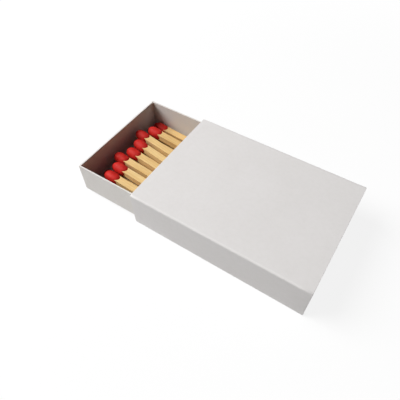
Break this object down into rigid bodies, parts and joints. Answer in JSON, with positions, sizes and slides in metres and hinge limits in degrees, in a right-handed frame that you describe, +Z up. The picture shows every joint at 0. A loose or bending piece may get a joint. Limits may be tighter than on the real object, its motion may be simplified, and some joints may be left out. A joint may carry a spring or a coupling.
{
  "type": "matchbox",
  "caption": "Slide-out matchbox: a plain card sleeve with a card tray pulled part of the way out, wooden matches lying in it heads outward.",
  "frame": {"origin": "centre of the sleeve's base, on the surface that it stands on", "axes": "+Z up; X along the way the tray slides, with the tray pulled out to -X; Y across the sleeve, the side with the inner glue lap at +Y"},
  "size_m": [0.0707, 0.036, 0.012],
  "materials": {
    "sleeve_card": "uncoated white folding board",
    "tray_card": "uncoated white folding board",
    "splint_wood": "pale sawn aspen, unvarnished",
    "match_head": "dull red dipped composition"
  },
  "bodies": {
    "sleeve": {"sleeve": "sleeve_card"},
    "tray": {"tray": "tray_card", "lower_match_1_splint": "splint_wood", "lower_match_2_splint": "splint_wood", "lower_match_3_splint": "splint_wood", "lower_match_4_splint": "splint_wood", "lower_match_5_splint": "splint_wood", "lower_match_6_splint": "splint_wood", "lower_match_7_splint": "splint_wood", "lower_match_8_splint": "splint_wood", "lower_match_9_splint": "splint_wood", "upper_match_1_splint": "splint_wood", "upper_match_2_splint": "splint_wood", "upper_match_3_splint": "splint_wood", "upper_match_4_splint": "splint_wood", "upper_match_5_splint": "splint_wood", "upper_match_6_splint": "splint_wood", "upper_match_7_splint": "splint_wood", "lower_match_1_head": "match_head", "lower_match_2_head": "match_head", "lower_match_3_head": "match_head", "lower_match_4_head": "match_head", "lower_match_5_head": "match_head", "lower_match_6_head": "match_head", "lower_match_7_head": "match_head", "lower_match_8_head": "match_head", "lower_match_9_head": "match_head", "upper_match_1_head": "match_head", "upper_match_2_head": "match_head", "upper_match_3_head": "match_head", "upper_match_4_head": "match_head", "upper_match_5_head": "match_head", "upper_match_6_head": "match_head", "upper_match_7_head": "match_head"}
  },
  "joints": [
    {"name": "tray_slide", "type": "slide", "parent": "sleeve", "child": "tray", "axis": [-1, 0, 0], "range_m": [-0.0607, 0.0213]}
  ]
}
